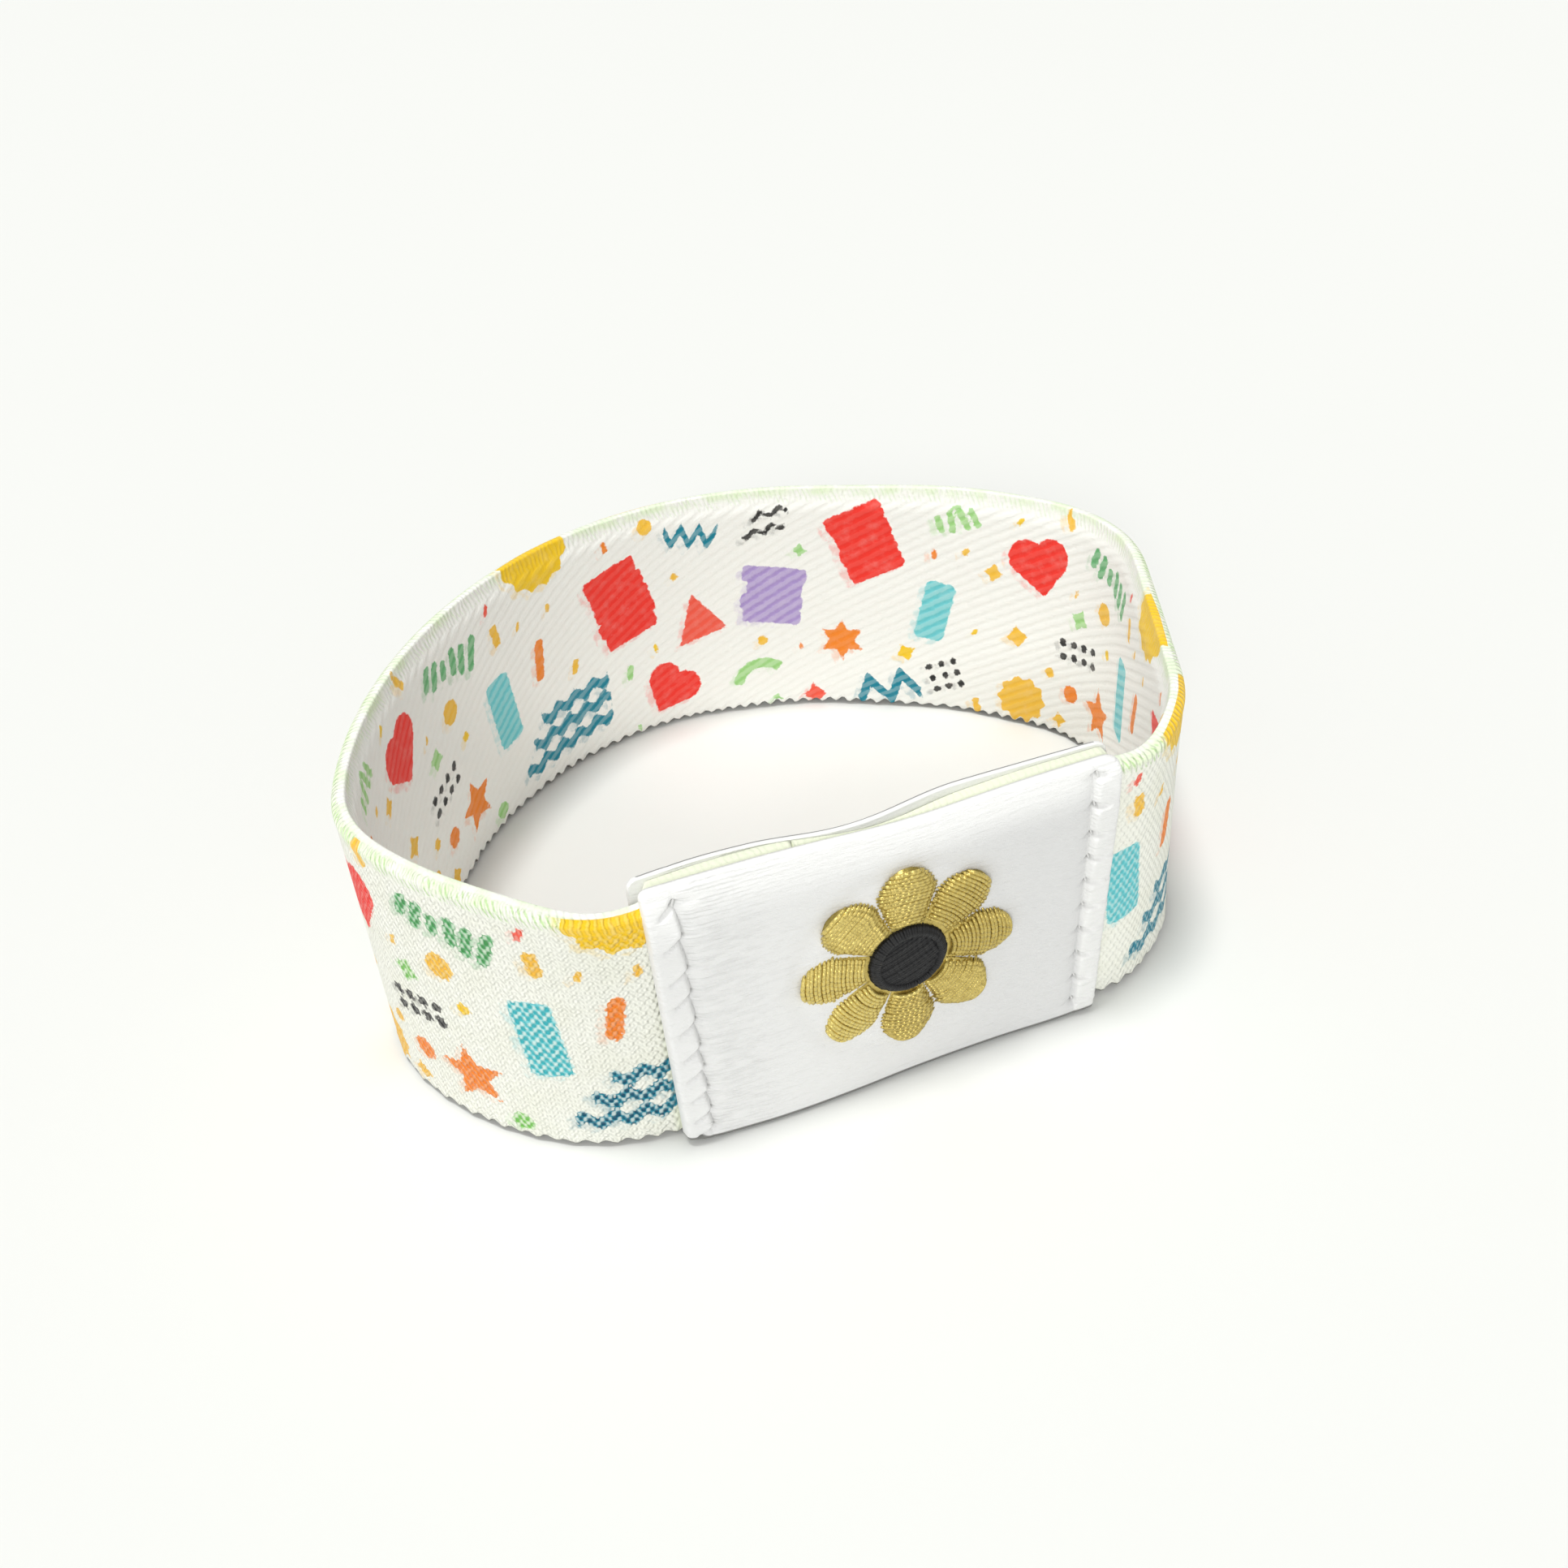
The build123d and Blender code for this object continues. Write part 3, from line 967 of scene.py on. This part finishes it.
def petal_half_width(reach):
    """Half a petal's width at a distance from the flower's middle."""
    middle = (FLOWER_RADIUS + CENTRE_RADIUS) / 2
    half_length = (FLOWER_RADIUS - CENTRE_RADIUS) / 2
    ellipse = 2.0 * np.sqrt(np.clip(1 - ((reach - middle) / half_length) ** 2, 0, 1))
    wedge = reach * tan(pi / PETAL_COUNT) - 0.04
    return np.minimum(np.maximum(ellipse, (reach < middle) * wedge), wedge)


def petal_threads():
    random = np.random.default_rng(3)
    paths = []
    for petal in range(PETAL_COUNT):
        turn = cmath.exp(2j * pi * petal / PETAL_COUNT)
        for reach in np.arange(PETAL_INNER_RADIUS + 0.12, FLOWER_RADIUS - 0.16, PETAL_PITCH):
            half = float(petal_half_width(reach)) - 0.06
            t = np.linspace(-1, 1, 11)
            bow = PETAL_BOW * (1 - t**2) * min(half, 1)
            spread = half * (1 + random.uniform(-0.05, 0.03))
            spot = (reach + bow - 0.15 + random.uniform(-0.03, 0.03) + 1j * t * spread) * turn
            top = PETAL_HEIGHT - PETAL_THREAD * 0.75
            lift = top * (0.35 + 0.65 * min(half / 1.2, 1)) * (1 - np.abs(t) ** 3.2) - 0.02
            paths.append(on_label(spot.real, spot.imag, lift))
    return paths


def centre_threads():
    """A disc of parallel stitches, then a border of short ones round it."""
    random = np.random.default_rng(4)
    paths = []
    slant = direction(CENTRE_SLANT)
    for level in np.arange(-CENTRE_RADIUS + 0.25, CENTRE_RADIUS - 0.2, CENTRE_PITCH):
        half = np.sqrt(CENTRE_RADIUS**2 - level**2) - 0.18
        t = np.linspace(-1, 1, 15)
        spot = (t * half + 1j * (level + 0.03 * random.uniform(-1, 1))) * slant
        away = np.abs(spot) / CENTRE_RADIUS
        dome = np.sqrt(np.clip(1 - away**2.6, 0, 1))
        lift = (CENTRE_HEIGHT - 0.2) * dome + 0.03 * random.uniform(-1, 1)
        paths.append(on_label(spot.real, spot.imag, lift))
    for k in range(BORDER_STITCHES):
        turn = cmath.exp(2j * pi * (k + 0.2 * random.uniform(-1, 1)) / BORDER_STITCHES)
        outer_end = CENTRE_RADIUS - 0.05 + 0.04 * random.uniform(-1, 1)
        reach = np.linspace(CENTRE_RADIUS - BORDER_WIDTH, outer_end, 7)
        share = np.linspace(0, 1, 7)
        lift = (CENTRE_HEIGHT - 0.18) * np.sin(pi * (0.32 + 0.68 * share)) ** 0.8
        spot = reach * turn * cmath.exp(0.06j)
        paths.append(on_label(spot.real, spot.imag, lift))
    return paths


def add_bed(name, radius_at, top, material):
    """A low closed dome under the stitches, so that no gap shows between them."""
    around = np.linspace(0, 2 * pi, 192, endpoint=False)
    rim = radius_at(around)
    points = [on_label(np.zeros(1), np.zeros(1), np.full(1, top - 0.05))]
    shares = np.linspace(0, 1, 9)[1:]
    for share in shares:
        out = np.full(len(around), top * np.sqrt(1 - share**4) - 0.05)
        points.append(on_label(rim * share * np.cos(around), rim * share * np.sin(around), out))
    count = len(around)
    quads = grid_quads(len(shares), count, closed=True)[:, [0, 3, 2, 1]] + 1
    faces = []
    for k in range(count):
        faces.append([0, 1 + k, 1 + (k + 1) % count])
        faces += quads[k::count].tolist()
    faces.append([1 + (len(shares) - 1) * count + k for k in reversed(range(count))])
    return add_mesh(name, np.concatenate(points), faces, material)


def petal_outline(around):
    """How far the petals reach at each angle."""
    sector = 2 * pi / PETAL_COUNT
    off = np.abs((around + sector / 2) % sector - sector / 2)
    reach = np.linspace(PETAL_INNER_RADIUS, FLOWER_RADIUS, 200)
    half_angle = np.arctan2(petal_half_width(reach), reach)
    inside = half_angle[None, :] > off[:, None]
    return np.where(inside, reach[None, :], PETAL_INNER_RADIUS).max(axis=1) - 0.12


def centre_outline(around):
    return np.full(len(around), CENTRE_RADIUS - 0.15)


def build_flower(gold, black):
    petals = build_threads("flower_petal_threads", petal_threads(), PETAL_THREAD, gold)
    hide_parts("flower_petals")
    add_bed("flower_petal_bed", petal_outline, PETAL_BED, gold)
    centre = build_threads("flower_centre_threads", centre_threads(), CENTRE_THREAD, black)
    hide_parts("flower_centre")
    add_bed("flower_centre_bed", centre_outline, CENTRE_BED, black)


def seam_threads(panel, place):
    """One short stitch in each pit of both seams."""
    paths = []
    t = np.linspace(-1, 1, 7)
    for seam in (on_panel(LEFT_SEAM, panel), on_panel(RIGHT_SEAM, panel)):
        for level in seam.stitches:
            across = seam.inset + 0.04 + 0.10 * t
            if seam.high_at_top:
                across = LABEL_LENGTH - across + right_shift(level, panel)
            else:
                across = across + left_shift(level, panel)
            points, out = place(across, level + STITCH_REACH * t)
            lift = panel.wall - STITCH_SINK + 0.10 * (1 - t**4)
            paths.append(points + out * lift[:, None])
    return paths


# Materials

WEAVE_BUMP = 0.00022  # depths of the bumps, in metres
LABEL_BUMP = 0.00012
THREAD_BUMP = 0.00006
RIPPLE_PITCH = 0.29
THREAD_TWIST = 0.35  # length of one turn
LABEL_WHITE = (0.83, 0.83, 0.825)
LABEL_CLOUD = (0.81, 0.81, 0.805)
# painted shade, darkening the label towards its right
LABEL_PAINTED_SHADE = (0.73, 0.73, 0.73)
# painted light for the label's right flap
LABEL_FLAP_PAINTED_LIGHT = (0.86, 0.86, 0.85)
# painted light towards the label's top edge
LABEL_PAINTED_LIGHT_TOP = (0.93, 0.93, 0.92)
# painted shade for the seams' stitch pits
PIT_PAINTED_SHADE = (0.30, 0.30, 0.29)
# painted shadow lines at the back panel's top edge and the label's foot
LABEL_PAINTED_SHADOW_LINE = (0.15, 0.15, 0.14)
FADED_INK = (1.0, 0.93, 0.85)


class Term:
    """A node's result. Sums, differences and products of terms add the Math nodes for them."""

    def __init__(self, socket):
        self.socket = socket
        self.tree = socket.id_data

    def math(self, operation, *values, clamp=False):
        node = self.tree.nodes.new("ShaderNodeMath")
        node.operation = operation
        node.use_clamp = clamp
        return filled(node, dict(enumerate((self, *values))))

    def __add__(self, other):
        return self.math("ADD", other)

    def __sub__(self, other):
        return self.math("SUBTRACT", other)

    def __mul__(self, other):
        return self.math("MULTIPLY", other)

    def __rsub__(self, other):
        return self.math("MULTIPLY_ADD", -1.0, other)


def filled(node, inputs, output=0):
    """Sets inputs of a node, by name or number, and gives one of its results."""
    for key, value in inputs.items():
        socket = node.inputs[key]
        if isinstance(value, Term):
            value.tree.links.new(value.socket, socket)
        else:
            socket.default_value = (*value, 1) if socket.type == "RGBA" else value
    return Term(node.outputs[output])


def new_material(name):
    material = bpy.data.materials.new(name)
    material.use_nodes = True
    tree = material.node_tree
    return material, tree, tree.nodes["Principled BSDF"]


def ramp(value, low, high, to_low=0.0, to_high=1.0):
    """A smooth change from to_low to to_high as value goes from low to high."""
    node = value.tree.nodes.new("ShaderNodeMapRange")
    node.interpolation_type = "SMOOTHSTEP"
    return filled(node, dict(enumerate((value, low, high, to_low, to_high))))


def mixed(share, first, second):
    """A number between first and second."""
    return filled(share.tree.nodes.new("ShaderNodeMix"), {0: share, 2: first, 3: second})


def blend_colour(share, first, second, kind="MIX"):
    node = share.tree.nodes.new("ShaderNodeMix")
    node.data_type = "RGBA"
    node.blend_type = kind
    return filled(node, {0: share, 6: first, 7: second}, output=2)


def painted(colour, *layers):
    """A colour with others laid over it, each given with its share."""
    for share, over in layers:
        colour = blend_colour(share, colour, over)
    return colour


def noise(vector, scale, detail=2.0, roughness=0.5):
    node = vector.tree.nodes.new("ShaderNodeTexNoise")
    settings = {"Vector": vector, "Scale": scale, "Detail": detail, "Roughness": roughness}
    return filled(node, settings, output="Fac")


def stretched(vector, factors):
    node = vector.tree.nodes.new("ShaderNodeVectorMath")
    node.operation = "MULTIPLY"
    return filled(node, {0: vector, 1: factors})


def stored(tree, name, output="Fac"):
    node = tree.nodes.new("ShaderNodeAttribute")
    node.attribute_name = name
    return Term(node.outputs[output])


def uv_places(tree, name):
    """A UV map, and its places along and up."""
    node = tree.nodes.new("ShaderNodeUVMap")
    node.uv_map = name
    uv = Term(node.outputs[0])
    parts = tree.nodes.new("ShaderNodeSeparateXYZ")
    return uv, filled(parts, {0: uv}), Term(parts.outputs[1])


def bump(height, distance, strength):
    node = height.tree.nodes.new("ShaderNodeBump")
    return filled(node, {"Strength": strength, "Distance": distance, "Height": height})


def wave(x, y, per_x, per_y, offset):
    """A sine from -1 to 1 with that many turns per millimetre along x and y."""
    turns = x * per_x + (y * per_y + offset)
    return (turns * (2 * pi)).math("SINE")


def weave_texture(x, y, inner, edge_zone, drift, jitter):
    """The weave from 0 to 1: round grains outside, slanted ribs inside, upright ridges at the edge."""
    grains = wave(x, y, -0.88, 1.22, drift) * 0.7
    grains = grains + wave(x, y, -1.95, 1.20, drift) + wave(x, y, 1.95, 1.28, drift)
    ribs = wave(x, y, -0.66, 1.18, drift * 0.5)
    ridges = wave(x, y, 2.4, 0.1, drift * 3.0)
    grains = ramp(jitter * 3.6 + grains, -2.6, 2.6)
    ribs = ramp(jitter * 2.2 + ribs, -1.5, 0.9)
    ridges = ramp(jitter * 3.0 + ridges, -1.4, 1.4)
    return mixed(edge_zone, mixed(inner, grains, ribs), ridges)


def elastic_relief(x, inner, edge_zone, in_label):
    """How strongly the weave stands out."""
    relief = mixed(inner, ramp(x, 15.0, 60.0, 0.55, 1.0), ramp(x, 18.0, 36.0, 0.10, 0.26))
    relief = mixed(edge_zone, relief, mixed(inner, 0.6, 0.22))
    return mixed(in_label, relief, 0.15)


def elastic_ground(uv, inner, below, texture):
    """The unprinted elastic, with painted shade in the weave's gaps and tinted near the top edge."""
    tint = ramp(below, 0.9, 0.3) * ramp(noise(uv, 0.5), 0.35, 0.65)
    return painted(
        blend_colour(ramp(noise(uv, 0.35), 0.4, 0.7), CREAM, CREAM_SHADE),
        # painted light: paler cream on the inner face
        (inner, INSIDE_PAINTED_LIGHT_CREAM),
        # painted shade in the weave's gaps
        ((1.0 - texture) * mixed(inner, 0.09, 0.04), WEAVE_GAP_PAINTED_SHADE),
        (tint * 0.5, SELVEDGE_TINT),
    )


def selvedge_marks(x, y, inner, below, in_label, drift, jitter, patchy):
    """Slanted green dashes along the top edge."""
    dashes = jitter * 2.4 + wave(x, y, 2.6, 1.1, drift)
    marks = ramp(below, 1.25, 0.95) * ramp(below, 0.05, 0.16) * ramp(dashes, -0.1, -0.7)
    marks = marks * ramp(patchy, 0.36, 0.58) * mixed(inner, 1.0, 0.35)
    return marks * in_label.math("MULTIPLY_ADD", -1.0, 0.6, clamp=True)


def print_ink(tree, patchy, texture, relief):
    """The print's plain ink, and the same lit and shaded by the weave."""
    plain = stored(tree, "print_ink", "Color")
    parts = tree.nodes.new("ShaderNodeSeparateColor")
    filled(parts, {0: plain})
    # how strongly the painted highlight and painted shade below show on each ink
    depth = ramp(Term(parts.outputs[2]), 0.0, 0.3, 0.22, 1.0) * relief
    ink = blend_colour(ramp(patchy, 0.45, 0.8, 0.0, 0.10), plain, FADED_INK)
    # painted highlight: the ink paled towards cream on the weave's crests
    ink = blend_colour(depth * ramp(texture, 0.45, 0.90, 0.0, 0.55), ink, CREAM)
    # painted shade: the ink deepened in the weave's gaps
    ink = blend_colour(depth * ramp(texture, 0.55, 0.10), ink, plain, "MULTIPLY")
    return plain, ink


def elastic_material():
    """Cream knitted elastic with a dye print: fine ribs inside, uneven rice grains outside."""
    material, tree, shader = new_material("printed_elastic")
    uv, x, y = uv_places(tree, "Weave")
    inner = stored(tree, "inner_face")
    below = stored(tree, "below_top")
    in_label = stored(tree, "in_label")
    drift = noise(uv, 0.8, 1.0) * 0.5 - 0.25
    jitter = noise(stretched(uv, (2.2, 3.2, 1)), 1.0, 2.0, 0.6) - 0.5
    patchy = noise(uv, 0.9, 3.0, 0.6)
    edge_zone = ramp(below, 1.45, 0.75)
    texture = weave_texture(x, y, inner, edge_zone, drift, jitter)
    relief = elastic_relief(x, inner, edge_zone, in_label)
    weave = texture * relief

    # Ink with edges that follow the weave, and a pale second print beside it
    rough = weave * 0.20 + (noise(uv, 2.4, 2.0, 0.6) * 0.36 - 0.22)
    ink_share = ramp(stored(tree, "print_edge") + rough, -0.05, 0.08)
    ghost = ramp(stored(tree, "print_ghost") + rough, -0.10, 0.12) * ramp(patchy, 0.42, 0.62, 0.03, 0.34)
    plain_ink, ink = print_ink(tree, patchy, texture, relief)
    colour = painted(
        elastic_ground(uv, inner, below, texture),
        (selvedge_marks(x, y, inner, below, in_label, drift, jitter, patchy), SELVEDGE_GREEN),
        (in_label, SEWN_IN_CREAM),
        (ghost, plain_ink),
        (ink_share, ink),
        # painted contact shadow along the strap's foot, where it meets the floor
        (ramp(below, STRAP_HEIGHT - 0.36, STRAP_HEIGHT - 0.16) * 0.85, FOOT_PAINTED_SHADOW),
    )
    height = noise(uv, 7.0, 3.0, 0.6) * 0.16 + weave
    filled(shader, {
        "Base Color": colour, "Roughness": 0.85, "Specular IOR Level": 0.2, "Sheen Weight": 0.15,
        "Sheen Roughness": 0.5, "Normal": bump(height, WEAVE_BUMP, 0.8),
    })
    return material


def label_material():
    """White coated cloth: fine creases along the label and a soft grain."""
    material, tree, shader = new_material("label_cloth")
    uv, x, y = uv_places(tree, "Grain")
    right_flap = ramp(x, 27.1, 27.4)
    ripples = wave(x, y, 0.03, 1 / RIPPLE_PITCH, noise(uv, 0.9) * 1.1)
    broken = ramp(noise(stretched(uv, (0.6, 2.2, 1)), 1.0, 1.0), 0.28, 0.58)
    near_seam = ramp(x, 10.0, 3.0) * ramp(x, 1.7, 2.3) + right_flap * 0.4
    grain = noise(stretched(uv, (5.0, 8.0, 1)), 1.0, 2.0, 0.6)
    creased = noise(stretched(uv, (0.55, 3.4, 1)), 1.0, 3.0, 0.55)
    height = ripples * broken * near_seam * 0.28 + (grain * 0.35 + creased)
    # painted shadow lines: along the back panel's top edge and along the label's foot
    edge = ramp(stored(tree, "top_shadow_line"), 0.50, 0.65) * 0.8
    foot = ramp(y, 0.44, 0.34) * 0.95
    colour = painted(
        blend_colour(noise(uv, 0.12), LABEL_WHITE, LABEL_CLOUD),
        # painted shade: the label darker towards its right
        (ramp(x, 10.0, 24.0), LABEL_PAINTED_SHADE),
        # painted light: the right flap a little lighter
        (right_flap, LABEL_FLAP_PAINTED_LIGHT),
        # painted light: the label lighter towards its top edge
        (ramp(y, 17.2, 20.2), LABEL_PAINTED_LIGHT_TOP),
        # painted shade in the stitch pits
        (ramp(stored(tree, "stitch_pit_shade"), 0.2, 0.8) * 0.6, PIT_PAINTED_SHADE),
        (edge.math("MAXIMUM", foot), LABEL_PAINTED_SHADOW_LINE),
    )
    filled(shader, {
        "Base Color": colour,
        "Roughness": ramp(grain, 0.3, 0.7, 0.40, 0.55), "Specular IOR Level": 0.4, "Sheen Weight": 0.1,
        "Normal": bump(height, LABEL_BUMP, 0.9),
    })
    return material


def thread_material(name, light, dark, metallic, roughness):
    """Thread with a twist, each length of it a little different."""
    material, tree, shader = new_material(name)
    position = Term(tree.nodes.new("ShaderNodeNewGeometry").outputs["Position"])
    mottle = noise(stretched(position, (1 / MM, 1 / MM, 1 / MM)), 2.6, 3.0, 0.65)
    twist = (stored(tree, "thread_place") * (2 * pi / THREAD_TWIST)).math("SINE")
    tone = (stored(tree, "thread_number") * 0.35 + mottle).math("SUBTRACT", 0.18, clamp=True)
    filled(shader, {
        "Base Color": blend_colour(tone, dark, light), "Metallic": metallic,
        "Roughness": ramp(mottle, 0.3, 0.7, roughness - 0.08, roughness + 0.1),
        "Normal": bump(mottle * 0.8 + twist * 0.5, THREAD_BUMP, 0.8),
    })
    return material


def floor_material():
    material, tree, shader = new_material("floor_paint")
    shade = noise(Term(tree.nodes.new("ShaderNodeTexCoord").outputs["Object"]), 6.0)
    colour = blend_colour(shade, (0.838, 0.848, 0.828), (0.848, 0.858, 0.838))
    filled(shader, {"Base Color": colour, "Roughness": 0.9, "Specular IOR Level": 0.1})
    return material


# Stage

CAMERA_PLACE = Vector((-27.033, -79.014, 73.762)) * MM
CAMERA_AIM = Vector((-0.084, -2.661, 10.0)) * MM
CAMERA_ROLL = -3.37
FOCAL_PIXELS = 1849.2
IMAGE_WIDTH = 1932
SENSOR_WIDTH = 36.0
FLOOR_SIZE = 4.0
WORLD_STRENGTH = 0.51
WORLD_FALL_RIGHT = 0.13  # how much weaker its light is from the right
WORLD_FALL_BACK = 0.22


def add_camera():
    camera = bpy.data.cameras.new("camera")
    camera.sensor_width = SENSOR_WIDTH
    camera.lens = FOCAL_PIXELS / IMAGE_WIDTH * SENSOR_WIDTH
    camera.clip_start = 0.001
    obj = add_object("camera", camera)
    turn = (CAMERA_AIM - CAMERA_PLACE).to_track_quat("-Z", "Y").to_matrix().to_4x4()
    roll = Matrix.Rotation(radians(CAMERA_ROLL), 4, "Z")
    obj.matrix_world = Matrix.Translation(CAMERA_PLACE) @ turn @ roll
    bpy.context.scene.camera = obj


def add_floor():
    mesh = bpy.data.meshes.new("floor")
    half = FLOOR_SIZE / 2
    corners = [(-half, -half, 0), (half, -half, 0), (half, half, 0), (-half, half, 0)]
    mesh.from_pydata(corners, [], [(0, 1, 2, 3)])
    mesh.materials.append(floor_material())
    floor = add_object("floor", mesh)


def add_sun(name, toward, strength, spread, colour):
    light = bpy.data.lights.new(name, "SUN")
    light.energy = strength
    light.angle = radians(spread)
    light.color = colour
    obj = add_object(name, light)
    obj.rotation_euler = Vector(toward).to_track_quat("Z", "Y").to_euler()


def add_light():
    """An even white studio, brighter from the left, with a large soft key light."""
    world = bpy.data.worlds.new("studio")
    bpy.context.scene.world = world
    world.use_nodes = True
    tree = world.node_tree
    background = tree.nodes["Background"]
    background.inputs["Color"].default_value = (1.0, 1.0, 0.985, 1)
    ways = tree.nodes.new("ShaderNodeSeparateXYZ")
    filled(ways, {0: Term(tree.nodes.new("ShaderNodeTexCoord").outputs["Generated"])})
    brighter_left = Term(ways.outputs["X"]) * -WORLD_FALL_RIGHT + WORLD_STRENGTH
    filled(background, {"Strength": Term(ways.outputs["Y"]) * -WORLD_FALL_BACK + brighter_left})
    add_sun("key", (-0.16, 0.05, 0.99), 1.60, 12, (1.0, 1.0, 0.98))
    add_sun("fill", (-0.48, -0.74, 0.47), 0.86, 14, (1.0, 1.0, 1.0))
    bpy.context.scene.view_settings.view_transform = "Standard"


def add_panel(part, panel, place, material, pucker=None):
    """One panel of the label, in place of its CAD solid."""
    obj = build_panel(f"label_{part}_panel", panel, place, material, pucker)
    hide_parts(f"label_{part}")


def main():
    add_camera()
    add_floor()
    add_light()
    white_thread = thread_material("white_thread", (0.88, 0.88, 0.87), (0.78, 0.78, 0.77), 0.0, 0.6)
    gold = thread_material("gold_thread", (0.93, 0.77, 0.26), (0.36, 0.25, 0.04), 0.6, 0.30)
    black = thread_material("black_thread", (0.014, 0.014, 0.015), (0.003, 0.003, 0.004), 0.0, 0.65)
    cloth = label_material()
    build_strap(elastic_material())
    add_panel("front", FRONT_PANEL, front_place, cloth, flower_pucker)
    add_panel("back", BACK_PANEL, lining_place, cloth)
    stitches = seam_threads(FRONT_PANEL, front_place)
    build_threads("label_front_stitches", stitches, SEAM_THREAD, white_thread)
    stitches = seam_threads(BACK_PANEL, lining_place)
    build_threads("label_back_stitches", stitches, SEAM_THREAD, white_thread)
    build_flower(gold, black)


main()
